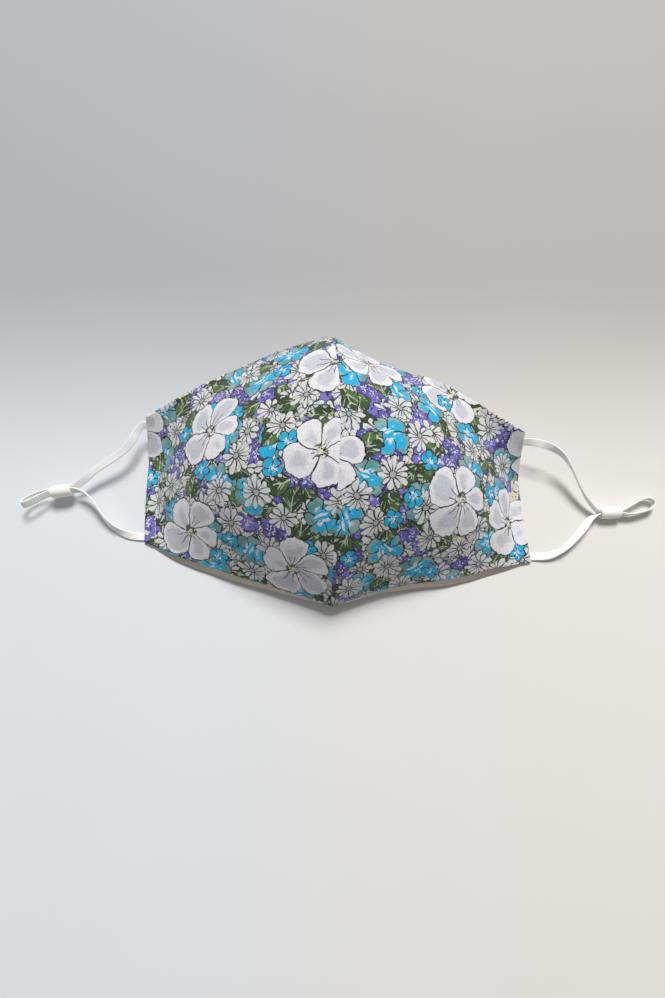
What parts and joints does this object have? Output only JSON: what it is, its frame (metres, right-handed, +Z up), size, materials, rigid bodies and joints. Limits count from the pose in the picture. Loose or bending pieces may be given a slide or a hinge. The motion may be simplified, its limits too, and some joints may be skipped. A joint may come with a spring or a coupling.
{
  "type": "cloth face mask",
  "caption": "Contoured cloth face mask with a raised centre seam, lying face up, with flat elastic ear loops drawn through small sliding adjusters.",
  "frame": {"origin": "the point of the table under the middle of the mask's panels", "axes": "+X towards the right ear loop, +Y towards the nose, +Z up from the table through the dome"},
  "size_m": [0.3189, 0.1346, 0.0516],
  "materials": {
    "printed_cotton": "matt printed plain-weave cotton",
    "elastic": "matt knitted elastic",
    "silicone": "satin white silicone"
  },
  "bodies": {
    "root": {"panel_left": "printed_cotton", "panel_right": "printed_cotton", "ear_loop_left": "elastic", "ear_loop_right": "elastic", "adjuster_left": "silicone", "adjuster_right": "silicone"}
  },
  "joints": []
}
